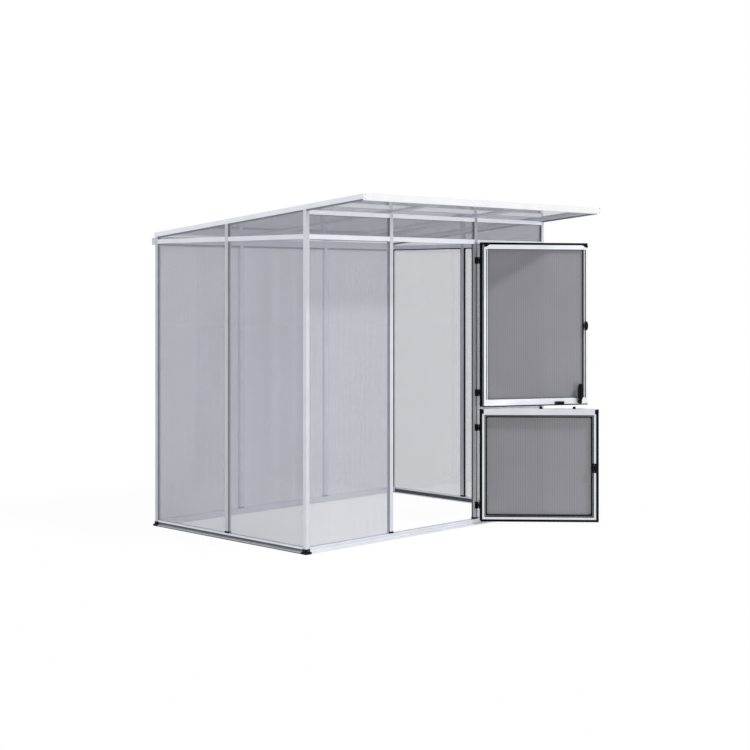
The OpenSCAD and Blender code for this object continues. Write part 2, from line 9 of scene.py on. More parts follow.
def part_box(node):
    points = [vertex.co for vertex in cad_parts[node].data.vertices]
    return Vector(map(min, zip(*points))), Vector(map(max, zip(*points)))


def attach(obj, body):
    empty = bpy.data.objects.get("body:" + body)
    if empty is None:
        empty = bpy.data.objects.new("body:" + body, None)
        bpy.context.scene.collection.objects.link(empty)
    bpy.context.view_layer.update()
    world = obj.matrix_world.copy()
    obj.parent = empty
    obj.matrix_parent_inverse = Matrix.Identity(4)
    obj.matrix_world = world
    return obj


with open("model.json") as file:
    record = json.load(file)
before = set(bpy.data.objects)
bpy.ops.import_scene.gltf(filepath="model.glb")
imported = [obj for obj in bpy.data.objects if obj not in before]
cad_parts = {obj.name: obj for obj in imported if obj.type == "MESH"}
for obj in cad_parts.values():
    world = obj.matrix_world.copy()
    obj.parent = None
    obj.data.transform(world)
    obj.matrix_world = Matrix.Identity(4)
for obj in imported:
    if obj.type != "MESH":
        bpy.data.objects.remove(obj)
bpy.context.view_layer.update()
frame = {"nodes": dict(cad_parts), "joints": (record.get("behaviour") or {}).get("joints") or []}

# ---- camera ----
# A level camera at head height off the front left corner, with the horizon moved up in the
# frame so that the posts stay upright.
camera_data = bpy.data.cameras.new("camera")
camera_data.sensor_width = 36
camera_data.lens = 70.1
camera_data.shift_y = -0.1197
camera_data.clip_end = 100
camera = bpy.data.objects.new("camera", camera_data)
camera.location = (-7.313, -6.7206, 1.677)
camera.rotation_euler = (math.radians(90), 0, math.radians(-45.06))
bpy.context.collection.objects.link(camera)
bpy.context.scene.camera = camera

# ---- studio ----
# A white floor and a white surround. One broad lamp stands high in front and a little to the
# right, so the front faces are bright, the left faces are softer and the roof throws its shadow.
bpy.context.scene.view_settings.view_transform = "Standard"


def seen_directly(nodes):
    """1 for rays that show a backdrop: straight from the camera, mirrored or through glass."""
    path = nodes.new("ShaderNodeLightPath")
    either = path.outputs["Is Camera Ray"]
    for name in ("Is Glossy Ray", "Is Transmission Ray"):
        highest = nodes.new("ShaderNodeMath")
        highest.operation = "MAXIMUM"
        nodes.id_data.links.new(either, highest.inputs[0])
        nodes.id_data.links.new(path.outputs[name], highest.inputs[1])
        either = highest.outputs[0]
    return either


world = bpy.data.worlds.new("studio")
bpy.context.scene.world = world
world.use_nodes = True
nodes, links = world.node_tree.nodes, world.node_tree.links
nodes.clear()
room_light = nodes.new("ShaderNodeBackground")
room_light.inputs["Color"].default_value = (0.89, 0.925, 1, 1)
room_light.inputs["Strength"].default_value = 0.48
white_wall = nodes.new("ShaderNodeBackground")
white_wall.inputs["Color"].default_value = (1, 1, 1, 1)
white_wall.inputs["Strength"].default_value = 1
choose = nodes.new("ShaderNodeMixShader")
world_out = nodes.new("ShaderNodeOutputWorld")
links.new(seen_directly(nodes), choose.inputs[0])
links.new(room_light.outputs[0], choose.inputs[1])
links.new(white_wall.outputs[0], choose.inputs[2])
links.new(choose.outputs[0], world_out.inputs["Surface"])

lamp_data = bpy.data.lights.new("key_lamp", "SUN")
lamp_data.energy = 2.9
lamp_data.angle = math.radians(6)
lamp = bpy.data.objects.new("key_lamp", lamp_data)
lamp.rotation_euler = (math.radians(40.5), 0, math.radians(18))
bpy.context.collection.objects.link(lamp)

FLOOR_HALF, FLOOR_DROP = 40, 0.001
floor_mesh = bpy.data.meshes.new("studio_floor")
bm = bmesh.new()
bmesh.ops.create_grid(bm, x_segments=1, y_segments=1, size=FLOOR_HALF)
bm.to_mesh(floor_mesh)
bm.free()
floor = bpy.data.objects.new("studio_floor", floor_mesh)
floor.location.z = -FLOOR_DROP
bpy.context.collection.objects.link(floor)

# Seen directly the floor is nearly pure white; its small grey share takes the shadows
WHITE_SHARE = 0.97
floor_paint = bpy.data.materials.new("white floor")
floor_paint.use_nodes = True
nodes, links = floor_paint.node_tree.nodes, floor_paint.node_tree.links
nodes.clear()
floor_diffuse = nodes.new("ShaderNodeBsdfDiffuse")
floor_diffuse.inputs["Color"].default_value = (0.8, 0.8, 0.8, 1)
floor_white = nodes.new("ShaderNodeEmission")
floor_white.inputs["Strength"].default_value = 1
shade = nodes.new("ShaderNodeMixShader")
shade.inputs[0].default_value = WHITE_SHARE
lit = nodes.new("ShaderNodeMixShader")
floor_out = nodes.new("ShaderNodeOutputMaterial")
links.new(floor_diffuse.outputs[0], shade.inputs[1])
links.new(floor_white.outputs[0], shade.inputs[2])
links.new(seen_directly(nodes), lit.inputs[0])
links.new(floor_diffuse.outputs[0], lit.inputs[1])
links.new(shade.outputs[0], lit.inputs[2])
links.new(lit.outputs[0], floor_out.inputs["Surface"])
floor.data.materials.append(floor_paint)

# ---- aluminium sections ----
# The base, posts, rails, roof sections, gutter and leaf frames are extruded aluminium with a
# pale mill finish: fine drawing lines along each bar and faint cloudy marks from handling.


def finish_of(name):
    """A new material, with its node tree and its Principled node."""
    material = bpy.data.materials.new(name)
    material.use_nodes = True
    return material, material.node_tree, material.node_tree.nodes["Principled BSDF"]


def grain(tree, scale, detail=2, stretch=None):
    """A grain that stays fast on its piece, finer along some axes if stretch says so."""
    spot = tree.nodes.new("ShaderNodeTexCoord").outputs["Object"]
    if stretch:
        mapping = tree.nodes.new("ShaderNodeMapping")
        mapping.inputs["Scale"].default_value = stretch
        tree.links.new(spot, mapping.inputs["Vector"])
        spot = mapping.outputs[0]
    noise = tree.nodes.new("ShaderNodeTexNoise")
    noise.inputs["Scale"].default_value = scale
    noise.inputs["Detail"].default_value = detail
    tree.links.new(spot, noise.inputs["Vector"])
    return noise.outputs["Fac"]


def grained_colour(tree, height, dark, light, stops=(0, 1)):
    """A colour that goes from dark to light between two heights of a grain."""
    ramp = tree.nodes.new("ShaderNodeValToRGB")
    for element, stop, colour in zip(ramp.color_ramp.elements, stops, (dark, light)):
        element.position = stop
        element.color = (*colour, 1)
    tree.links.new(height, ramp.inputs["Fac"])
    return ramp.outputs["Color"]


def grained_dullness(tree, finish, height, low, high):
    """Let how dull a finish is follow a grain between two values."""
    dull = tree.nodes.new("ShaderNodeMapRange")
    dull.inputs["To Min"].default_value = low
    dull.inputs["To Max"].default_value = high
    tree.links.new(height, dull.inputs["Value"])
    tree.links.new(dull.outputs[0], finish.inputs["Roughness"])


def grained_relief(tree, finish, height, strength, distance):
    """Let a grain stand out of a finish a little."""
    bump = tree.nodes.new("ShaderNodeBump")
    bump.inputs["Strength"].default_value = strength
    bump.inputs["Distance"].default_value = distance
    tree.links.new(height, bump.inputs["Height"])
    tree.links.new(bump.outputs[0], finish.inputs["Normal"])


# The drawing lines' scale along a bar and across it, and the darkest and lightest cloud
ALONG_BAR, ACROSS_BAR = 3, 700
CLOUD_STOPS = (0.3, 0.7)
CLOUD_TONES = (0.96, 1.04)


def aluminium(name, along, dark, light, metal_share=0.75):
    """Mill-finished aluminium with its drawing lines along one axis."""
    material, tree, metal = finish_of(name)
    metal.inputs["Metallic"].default_value = metal_share
    lines = grain(tree, 1, stretch=[ALONG_BAR if axis == along else ACROSS_BAR
                                    for axis in range(3)])
    clouds = grained_colour(tree, grain(tree, 9, detail=5), dark, light, CLOUD_STOPS)
    tree.links.new(clouds, metal.inputs["Base Color"])
    grained_dullness(tree, metal, lines, low=0.3, high=0.46)
    grained_relief(tree, metal, lines, strength=0.12, distance=0.0004)
    return material


def dress(material, names):
    """Give CAD nodes a material."""
    for name in names:
        mesh = frame["nodes"][name].data
        mesh.materials.clear()
        mesh.materials.append(material)


def tone_of(level, warm=0):
    """The darkest and lightest colour round one grey level of painted light and shade. Its faint
    blue cast is painted shade, and warm turns it to the painted warmth of full sun."""
    cast = (0.965 + warm, 0.98 + warm / 2, 1.04 - warm)
    return [tuple(level * cloud * part for part in cast) for cloud in CLOUD_TONES]


X, Y, Z = range(3)
# Each group's grey level is painted light and shade on one and the same aluminium: lighter for
# bars in full light, darker for bars in shade, darkest for the hinge post.
for name, level, along, names in (
        ("rail", 0.96, X, ["front_rail", "front_top_rail", "eave_rail", "back_rail"]),
        ("front base", 0.76, X, ["base_front", "base_back"]),
        ("gutter", 0.64, X, ["gutter"]),
        ("ledge", 0.72, X, ["ledge"]),
        ("side rail", 0.8, Y, ["left_rail", "right_rail"]),
        ("roof side", 0.87, Y, ["roof_side_left", "roof_side_right"]),
        ("side base", 0.82, Y, ["base_left", "base_right"]),
        ("roof bar", 0.88, Y, ["roof_bars"]),
        ("front post", 0.7, Z, ["post_front_left", "post_front_right", "latch_post"]),
        ("back post", 0.57, Z, ["post_back_left", "post_back_right", "side_mullions"]),
        ("hinge post", 0.47, Z, ["hinge_post"]),
        ("upper leaf", 0.9, Z, ["upper_frame"]),
        ("lower leaf", 0.76, Z, ["lower_frame"])):
    dress(aluminium(name + " aluminium", along, *tone_of(level)), names)
# Painted light again: the back mullions are made lighter against the shade they stand in, and the
# fascia darker and warm against the full sun on it.
dress(aluminium("back mullion aluminium", Z, *tone_of(0.95), metal_share=0.15),
      ["back_mullions"])
dress(aluminium("fascia aluminium", X, *tone_of(0.735, warm=0.045), metal_share=0.1),
      ["roof_fascia"])

# ---- wall and roof panels ----
# Twin-wall polycarbonate: two thin clear skins joined by upright webs. It is slightly milky and
# glossy, so what stands behind it shows faintly through a grey veil. Each panel is held in the
# grooves of the sections round it.
HEAD_ON_MIRROR, MIRROR_RISE = 0.07, 3


def sheet(name, veil, milk, clear_tint, mirror_edge=0.6, gloss_roughness=0.04):
    """See-through plastic: mostly clear, partly milky, with a glossy skin that mirrors more at
    a glancing angle. The milky part scatters as much light through as it throws back."""
    material, tree, front = finish_of(name)
    nodes, links = tree.nodes, tree.links
    front.inputs["Roughness"].default_value = 0.35
    through = nodes.new("ShaderNodeBsdfTranslucent")
    dark, light = [[cloud * part for part in milk] for cloud in CLOUD_TONES]
    haze = grained_colour(tree, grain(tree, 3, detail=3), dark, light, CLOUD_STOPS)
    links.new(haze, front.inputs["Base Color"])
    links.new(haze, through.inputs["Color"])
    milky = nodes.new("ShaderNodeMixShader")
    clear = nodes.new("ShaderNodeBsdfTransparent")
    clear.inputs["Color"].default_value = (*clear_tint, 1)
    body = nodes.new("ShaderNodeMixShader")
    body.inputs[0].default_value = veil
    gloss = nodes.new("ShaderNodeBsdfGlossy")
    gloss.inputs["Roughness"].default_value = gloss_roughness
    edge_on = nodes.new("ShaderNodeLayerWeight")
    edge_on.inputs["Blend"].default_value = 0.5
    steep = nodes.new("ShaderNodeMath")
    steep.operation = "POWER"
    steep.inputs[1].default_value = MIRROR_RISE
    share = nodes.new("ShaderNodeMath")
    share.operation = "MULTIPLY_ADD"
    share.inputs[1].default_value = mirror_edge
    share.inputs[2].default_value = HEAD_ON_MIRROR
    mirror = nodes.new("ShaderNodeMixShader")
    links.new(front.outputs[0], milky.inputs[1])
    links.new(through.outputs[0], milky.inputs[2])
    links.new(clear.outputs[0], body.inputs[1])
    links.new(milky.outputs[0], body.inputs[2])
    links.new(edge_on.outputs["Facing"], steep.inputs[0])
    links.new(steep.outputs[0], share.inputs[0])
    links.new(share.outputs[0], mirror.inputs[0])
    links.new(body.outputs[0], mirror.inputs[1])
    links.new(gloss.outputs[0], mirror.inputs[2])
    links.new(mirror.outputs[0], nodes["Material Output"].inputs["Surface"])
    return material


# The left sheet's darker, bluer milk is painted shade for the shaded left side, and the far darker
# milk of the transom and gable sheet is painted shade under the roof.
dress(sheet("clear twin wall sheet", 0.24, (0.74, 0.75, 0.8), (0.94, 0.945, 0.955)),
      ["front_panels", "right_panels", "back_panels"])
dress(sheet("clear side sheet", 0.26, (0.68, 0.7, 0.76), (0.92, 0.93, 0.945)), ["left_panels"])
dress(sheet("clear transom sheet", 0.24, (0.42, 0.42, 0.47), (0.915, 0.92, 0.94)),
      ["transom_panels", "left_gables", "right_gables"])
dress(sheet("clear roof sheet", 0.38, (0.86, 0.86, 0.88), (0.95, 0.95, 0.965),
            mirror_edge=0.85, gloss_roughness=0.06), ["roof_panels"])

# ---- webs in the wall panels ----
# Between the two skins of each wall panel stand thin upright webs of the same milky plastic,
# 10.5 mm apart, extruded in one piece with them. Here each is a narrow strip just inside the outer
# skin.
MM = 0.001
WEB_PITCH, WEB_T, WEB_DEPTH = 10.5 * MM, 0.6 * MM, 1.2 * MM
SKIN_T = 0.8 * MM


def piece(name, bm, material, body):
    """Finish a mesh as a piece that rides on a body, with every face turned outwards, also
    after a mirrored placing."""
    bm.normal_update()
    bmesh.ops.recalc_face_normals(bm, faces=bm.faces)
    mesh = bpy.data.meshes.new(name)
    bm.to_mesh(mesh)
    bm.free()
    mesh.materials.append(material)
    made = bpy.data.objects.new(name, mesh)
    bpy.context.collection.objects.link(made)
    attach(made, body)


def bar(bm, low, high, place=Matrix()):
    """A straight bar with square ends between two corners."""
    low, high = Vector(low), Vector(high)
    bmesh.ops.create_cube(bm, size=1, matrix=place @ Matrix.Translation((low + high) / 2)
                          @ Matrix.Diagonal((*(high - low), 1)))


def evenly(x0, x1, pitch):
    """Even steps between two edges, as near to the pitch as fits."""
    count = round((x1 - x0) / pitch)
    return [x0 + (x1 - x0) * i / count for i in range(1, count)]


def webs(bm, place, x0, x1, z0, z1, y, pitch=WEB_PITCH, web_t=WEB_T):
    """Upright webs between two edges of a panel."""
    for x in evenly(x0, x1, pitch):
        bar(bm, (x - web_t / 2, y, z0), (x + web_t / 2, y + WEB_DEPTH, z1), place)


def web_plastic(name, dark, light):
    """Milky plastic with faint streaks."""
    material, tree, web = finish_of(name)
    web.inputs["Roughness"].default_value = 0.4
    streaks = grained_colour(tree, grain(tree, 40), dark, light)
    tree.links.new(streaks, web.inputs["Base Color"])
    return material


front_left, front_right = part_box("post_front_left"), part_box("post_front_right")
back_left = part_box("post_back_left")
latch_post, hinge_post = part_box("latch_post"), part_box("hinge_post")
bar_half = (latch_post[1].x - latch_post[0].x) / 2
wall_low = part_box("base_front")[1].z
rail_low, rail_high = (corner.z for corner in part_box("front_rail"))
top_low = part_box("front_top_rail")[0].z
panel_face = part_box("front_panels")[0].y - front_left[0].y
half_width = front_right[1].x
rear = back_left[1].y

# Each wall is drawn as the front wall and then put in its place: x runs along it, y inwards
in_front = Matrix()
on_left = (Matrix.Translation((-half_width, 0, 0)) @ Matrix.Scale(-1, 4, (1, 0, 0))
           @ Matrix.Rotation(math.pi / 2, 4, "Z"))
on_right = Matrix.Translation((half_width, 0, 0)) @ Matrix.Rotation(math.pi / 2, 4, "Z")
at_back = Matrix.Translation((0, rear, 0)) @ Matrix.Scale(-1, 4, (0, 1, 0))
front_bays = [(front_left[1].x, latch_post[0].x), (latch_post[1].x, hinge_post[0].x),
              (hinge_post[1].x, front_right[0].x)]
side_mid = sum(corner.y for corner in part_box("side_mullions")) / 2
side_bays = [(front_left[1].y, side_mid - bar_half), (side_mid + bar_half, back_left[0].y)]
walls = [(in_front, [front_bays[0], front_bays[2]]), (on_left, side_bays),
         (on_right, side_bays), (at_back, front_bays)]

bm = bmesh.new()
for place, bays in walls:
    for x0, x1 in bays:
        webs(bm, place, x0, x1, wall_low, rail_low, panel_face + SKIN_T)
for x0, x1 in front_bays:
    webs(bm, in_front, x0, x1, rail_high, top_low, panel_face + SKIN_T)
clear_web = web_plastic("milky web plastic", (0.55, 0.555, 0.59), (0.63, 0.635, 0.67))
piece("wall_webs", bm, clear_web, "frame")

# ---- webs in the roof panels ----
# The roof sheets have the same webs from skin to skin, running down the slope. They stop a
# little short of the sheets' ends.
FRONT_END, BACK_END, END_REACH = 2 * MM, 4 * MM, 3 * MM
sheet_spots = [v.co for v in frame["nodes"]["roof_panels"].data.vertices]
roof_low, roof_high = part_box("roof_panels")
front_heights = [spot.z for spot in sheet_spots if spot.y < roof_low.y + END_REACH]
back_heights = [spot.z for spot in sheet_spots if spot.y > roof_high.y - END_REACH]
roof_deep = roof_high.y - roof_low.y
fall = math.atan2(min(front_heights) - min(back_heights), roof_deep)
sheet_t = (max(front_heights) - min(front_heights)) * math.cos(fall)
slope = (Matrix.Translation((0, roof_low.y, min(front_heights)))
         @ Matrix.Rotation(-fall, 4, "X"))
run = roof_deep / math.cos(fall)
bm = bmesh.new()
for x in evenly(roof_low.x, roof_high.x, WEB_PITCH):
    bar(bm, (x - WEB_T / 2, FRONT_END, SKIN_T),
        (x + WEB_T / 2, run - BACK_END, sheet_t - SKIN_T), slope)
piece("roof_webs", bm, clear_web, "frame")

# ---- moulded black parts ----
# Corner connectors, feet, hinges, catches and the lever are black nylon mouldings with a fine
# matt grain. The flaps round the leaves are black rubber and the roof's seals pale grey rubber,
# both pressed into the sections.


def moulded(name, roughness, fineness, light=0.005):
    """Moulded plastic or rubber with a fine grain. Light is the tone of its palest specks,
    which are a touch bluer than the rest."""
    material, tree, plastic = finish_of(name)
    plastic.inputs["Specular IOR Level"].default_value = 0.12
    specks = grain(tree, fineness, detail=3)
    colour = grained_colour(tree, specks, (light / 3, light / 3, light / 2.8),
                            (light, light, light * 1.1))
    tree.links.new(colour, plastic.inputs["Base Color"])
    grained_dullness(tree, plastic, specks, low=roughness - 0.08, high=roughness + 0.08)
    grained_relief(tree, plastic, specks, strength=0.2, distance=0.0003)
    return material


nylon = moulded("black nylon", 0.5, 900)
dress(nylon, ["base_corners", "post_feet", "hinge_brackets", "upper_hinges", "upper_catch",
              "upper_bolt", "lower_hinges", "lower_latch", "keepers", "lever_handle"])
rubber = moulded("black rubber", 0.75, 500)
dress(rubber, ["upper_seal", "lower_seal"])
dress(moulded("pale grey rubber", 0.75, 500, 0.45), ["roof_seals"])

# ---- glazing gaskets of the walls ----
# A pale aluminium bead and a black rubber gasket pressed on it lie on the inner side of the
# front and side panels, all round, and hide the edge of the groove. The back panels have only
# a black strip along their top edge, just under the back rail.
CORNER_ROUNDING = 0.8


def add_to(bm, made):
    """Move one small part's mesh into the mesh of its whole piece."""
    mesh = bpy.data.meshes.new("small mesh")
    made.to_mesh(mesh)
    made.free()
    bm.from_mesh(mesh)
    bpy.data.meshes.remove(mesh)


def glazing_ring(bm, corners, band, rise, place=Matrix()):
    """A flat ring inside four corners, as wide as the band and as thick as the rise, with its
    inner corners rounded."""
    made = bmesh.new()
    face = made.faces.new([made.verts.new(c) for c in corners])
    made.normal_update()
    bmesh.ops.inset_region(made, faces=[face], thickness=band, use_boundary=True)
    inner = list(face.verts)
    bmesh.ops.delete(made, geom=[face], context="FACES_ONLY")
    rim = bmesh.ops.extrude_face_region(made, geom=made.faces[:])
    raised = [v for v in rim["geom"] if isinstance(v, bmesh.types.BMVert)]
    bmesh.ops.translate(made, verts=raised, vec=rise)
    upright = [e for v in inner for e in v.link_edges if e.other_vert(v) in raised]
    bmesh.ops.bevel(made, geom=upright, offset=CORNER_ROUNDING * band,
                    offset_type="OFFSET", segments=3, profile=0.5, affect="EDGES", material=-1)
    made.transform(place)
    add_to(bm, made)


def opening(x0, x1, y, z0, z1):
    """The four corners of an upright opening."""
    return [(x0, y, z0), (x1, y, z0), (x1, y, z1), (x0, y, z1)]


# The rings cover the lip along the top of the base too
BASE_LIP = 12 * MM
BEAD_T, GASKET_T, THIN_GASKET_T = 3 * MM, 6 * MM, 1.5 * MM
FRONT_BAND, LEFT_BAND, RIGHT_BAND, BACK_STRIP = 5 * MM, 2.5 * MM, 11 * MM, 14 * MM
panel_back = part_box("front_panels")[1].y - front_left[0].y
gasket_face = panel_back + BEAD_T
beads, gaskets = bmesh.new(), bmesh.new()
# One width and thickness each for the front, left and right wall
wall_gaskets = ((FRONT_BAND, GASKET_T), (LEFT_BAND, THIN_GASKET_T), (RIGHT_BAND, GASKET_T))
for (place, bays), (band, gasket_t) in zip(walls[:3], wall_gaskets):
    for x0, x1 in bays:
        low = wall_low - BASE_LIP
        glazing_ring(beads, opening(x0, x1, panel_back, low, rail_low), band,
                     (0, BEAD_T, 0), place)
        glazing_ring(gaskets, opening(x0, x1, gasket_face, low, rail_low), band,
                     (0, gasket_t, 0), place)
for x0, x1 in front_bays:
    glazing_ring(beads, opening(x0, x1, panel_back, rail_high, top_low), FRONT_BAND,
                 (0, BEAD_T, 0))
    glazing_ring(gaskets, opening(x0, x1, gasket_face, rail_high, top_low), FRONT_BAND,
                 (0, GASKET_T, 0))
    bar(gaskets, (x0, gasket_face, rail_low - BACK_STRIP),
        (x1, gasket_face + GASKET_T, rail_low), at_back)
pale_bead = aluminium("pale glazing bead", Z, *tone_of(0.85))
piece("wall_beads", beads, pale_bead, "frame")
piece("wall_gaskets", gaskets, rubber, "frame")

# ---- leaf panels ----
# The two door leaves carry a darker, smoke grey sheet of the same twin-wall polycarbonate. It
# lets less light through than the wall panels and sits in the grooves of the leaf frames.
dress(sheet("smoke twin wall sheet", 0.72, (0.445, 0.44, 0.47), (0.62, 0.62, 0.65),
            mirror_edge=0.4, gloss_roughness=0.12), ["upper_panel", "lower_panel"])

# ---- webs, gaskets and channel shade strips of the leaves ----
# Each leaf panel has upright ribs, 17 mm apart and just proud of both skins. A black rubber
# gasket holds the panel on both sides. A strip of the same black rubber lies in the channel
# between the frame's ridge and its lip: painted shade, for the shade deep in the narrow channel.
LEAF_PITCH, LEAF_WEB_T, WEB_PROUD = 17 * MM, 1.2 * MM, 0.1 * MM
SEAT = 7 * MM
LIP_W, LIP_DROP, CHANNEL_W, CHANNEL_D = 8 * MM, 4 * MM, 7 * MM, 9 * MM
STRIP_T, STRIP_PLAY = 7 * MM, 0.2 * MM
GASKET_PROUD, OUTER_BAND, OUTER_GASKET_T = 1 * MM, 7 * MM, 3 * MM
# The width of the inner gasket, and how far it covers the frame's lip
inner_bands = {"upper": (4 * MM, 1 * MM), "lower": (13 * MM, 6.5 * MM)}
pins, places = {}, {}
for leaf in ("upper", "lower"):
    hinge_joint = next(j for j in frame["joints"] if j["name"] == leaf + "_leaf_hinge")
    pins[leaf] = Vector(hinge_joint["pos_m"])
    turn = Matrix.Rotation(math.radians(-hinge_joint["range_deg"][0]), 4, "Z")
    places[leaf] = Matrix.Translation(pins[leaf]) @ turn @ Matrix.Translation(-pins[leaf])


def closed_box(node):
    """A leaf node's lowest and highest corners with its leaf closed."""
    on_lower = node in ("ledge", "keepers") or node.startswith("lower")
    shut = places["lower" if on_lower else "upper"].inverted()
    spots = [shut @ v.co for v in frame["nodes"][node].data.vertices]
    return (Vector([min(s[i] for s in spots) for i in range(3)]),
            Vector([max(s[i] for s in spots) for i in range(3)]))


def in_channel(edge, side):
    """The long edges of a strip in the channel beside one edge of the panel's opening."""
    return sorted(edge + side * (LIP_W + across)
                  for across in (STRIP_PLAY, CHANNEL_W - STRIP_PLAY))


for leaf in ("upper", "lower"):
    place = places[leaf]
    ridge = closed_box(leaf + "_frame")[1].y
    sheet_low, sheet_high = closed_box(leaf + "_panel")
    x0, x1 = sheet_low.x + SEAT, sheet_high.x - SEAT
    z0, z1 = sheet_low.z + SEAT, sheet_high.z - SEAT
    bm = bmesh.new()
    for y in (sheet_high.y + WEB_PROUD - WEB_DEPTH, sheet_low.y - WEB_PROUD):
        webs(bm, place, x0, x1, z0, z1, y, LEAF_PITCH, LEAF_WEB_T)
    smoke_web = web_plastic(leaf + " smoke web plastic", (0.13, 0.13, 0.14), (0.18, 0.18, 0.19))
    piece(leaf + "_webs", bm, smoke_web, leaf + "_leaf")

    bm = bmesh.new()
    band, cover = inner_bands[leaf]
    rise = ridge - LIP_DROP + GASKET_PROUD - sheet_high.y
    inner_edge = opening(x0 - cover, x1 + cover, sheet_high.y, z0 - cover, z1 + cover)
    glazing_ring(bm, inner_edge, band, (0, rise, 0), place)
    outer_edge = opening(x0, x1, sheet_low.y, z0, z1)
    glazing_ring(bm, outer_edge, OUTER_BAND, (0, -OUTER_GASKET_T, 0), place)
    piece(leaf + "_gaskets", bm, rubber, leaf + "_leaf")

    # The upper leaf has painted shade strips at its sides only, the lower leaf all round
    bm = bmesh.new()
    channel = ridge - CHANNEL_D
    past = LIP_W + CHANNEL_W if leaf == "lower" else 0
    for edge, side in ((x0, -1), (x1, 1)):
        near, far = in_channel(edge, side)
        bar(bm, (near, channel, z0 - past), (far, channel + STRIP_T, z1 + past), place)
    if leaf == "lower":
        for edge, side in ((z0, -1), (z1, 1)):
            near, far = in_channel(edge, side)
            bar(bm, (x0 - LIP_W, channel, near), (x1 + LIP_W, channel + STRIP_T, far), place)
    piece(leaf + "_channel_shade_strips", bm, rubber, leaf + "_leaf")

# ---- doorway seals and painted shade ----
# A dark grey rubber strip runs up the doorway side of each doorway post, where the leaves close;
# on the hinge post, whose doorway side lies in shade, it is also painted shade. A thin strip of
# the same grey up the front of the hinge post is a painted shadow of the open leaves.
SEAL_T, THIN_SHADOW_T = 2 * MM, 0.6 * MM
SEAL_FROM, SEAL_TO = 18 * MM, 26 * MM
SHADOW_FROM, SHADOW_TO = 15 * MM, 22 * MM
FOOT_GAP, HEAD_GAP = 14 * MM, 2 * MM
seal_low, seal_high = wall_low + FOOT_GAP, rail_low - HEAD_GAP
bm = bmesh.new()
for post, face, out in ((latch_post, latch_post[1].x, 1), (hinge_post, hinge_post[0].x, -1)):
    near, far = sorted((face, face + out * SEAL_T))
    bar(bm, (near, post[0].y + SEAL_FROM, seal_low), (far, post[0].y + SEAL_TO, seal_high))
hinge_side, hinge_face = hinge_post[0].x, hinge_post[0].y
bar(bm, (hinge_side + SHADOW_FROM, hinge_face - THIN_SHADOW_T, seal_low),
    (hinge_side + SHADOW_TO, hinge_face, seal_high))
seal_and_shade_grey = moulded("dark grey rubber", 0.7, 500, 0.12)
piece("doorway_seals_and_shade", bm, seal_and_shade_grey, "frame")

# ---- painted shade strips of the side bases ----
# Grey strips lie in the waist of the side bases, along their inner faces and on the edge of
# their feet. They are painted shade, darkening these faces of the bases where shade falls.
# They end just short of the posts.
WAIST, WAIST_STRIP_T, WAIST_LOW, WAIST_HIGH = 6 * MM, 2 * MM, 16 * MM, 27 * MM
SOLE_T, SOLE_LOW, SOLE_HIGH = 0.5 * MM, 1 * MM, 7 * MM
INNER_FACE, INNER_STRIP_T, INNER_LOW, INNER_HIGH = 28 * MM, 1.5 * MM, 9 * MM, 34 * MM
STRIP_END, INNER_END = 8 * MM, 28 * MM
foot_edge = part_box("base_left")[0].x + half_width
y0, y1 = front_left[1].y, back_left[0].y
waist_shade, inner_shade, sole_shade = bmesh.new(), bmesh.new(), bmesh.new()
for place in (on_left, on_right):
    bar(waist_shade, (y0 + STRIP_END, WAIST - WAIST_STRIP_T, WAIST_LOW),
        (y1 - STRIP_END, WAIST, WAIST_HIGH), place)
    bar(sole_shade, (y0 + STRIP_END, foot_edge - SOLE_T, SOLE_LOW),
        (y1 - STRIP_END, foot_edge, SOLE_HIGH), place)
    bar(inner_shade, (y0 + INNER_END, INNER_FACE, INNER_LOW),
        (y1 - INNER_END, INNER_FACE + INNER_STRIP_T, INNER_HIGH), place)
# These greys are painted shade on the bases.
waist_shade_grey = moulded("grey rubber", 0.75, 500, 0.3)
base_shade_grey = moulded("mid grey rubber", 0.7, 500, 0.25)
piece("base_waist_strips", waist_shade, waist_shade_grey, "frame")
piece("base_inner_strips", inner_shade, base_shade_grey, "frame")
piece("base_soles", sole_shade, base_shade_grey, "frame")

# ---- flap lip of the lower leaf ----
# The rubber flap round the lower leaf ends in a soft lip along its free edge and its bottom,
# moulded in one piece with the flap.
LIP_OUT, LIP_OVER, FLAP_T, HINGE_GAP = 6 * MM, 0.5 * MM, 3 * MM, 6 * MM


def soften(bm, offset, segments):
    """Round every edge of a small moulding."""
    bmesh.ops.bevel(bm, geom=bm.edges[:], offset=offset, segments=segments, profile=0.5,
                    affect="EDGES", material=-1)


flap = closed_box("lower_seal")[0]
leaf_top = closed_box("lower_frame")[1].z
bm = bmesh.new()
bar(bm, (flap.x - LIP_OUT, flap.y, flap.z - LIP_OUT),
    (flap.x + LIP_OVER, flap.y + FLAP_T, leaf_top), places["lower"])
bar(bm, (flap.x + LIP_OVER, flap.y, flap.z - LIP_OUT),
    (-flap.x - HINGE_GAP, flap.y + FLAP_T, flap.z + LIP_OVER), places["lower"])
soften(bm, offset=0.6 * MM, segments=2)
piece("lower_flap_lip", bm, rubber, "lower_leaf")

# ---- keeper studs ----
# Each keeper on the ledge carries a rounded black stud, moulded with it, beside which the upper
# leaf's bottom edge comes to rest.
STUD_HALF, STUD_H, KEEPER_MID, KEEPER_EDGE = 10 * MM, 17 * MM, 12 * MM, 1 * MM
keeper_low, keeper_high = closed_box("keepers")
bm = bmesh.new()
for x in (keeper_low.x + KEEPER_MID, keeper_high.x - KEEPER_MID):
    bar(bm, (x - STUD_HALF, keeper_low.y + KEEPER_EDGE, keeper_low.z + KEEPER_EDGE),
        (x + STUD_HALF, keeper_high.y - KEEPER_EDGE, keeper_low.z + STUD_H), places["lower"])
soften(bm, offset=2.5 * MM, segments=3)
piece("keeper_studs", bm, nylon, "lower_leaf")

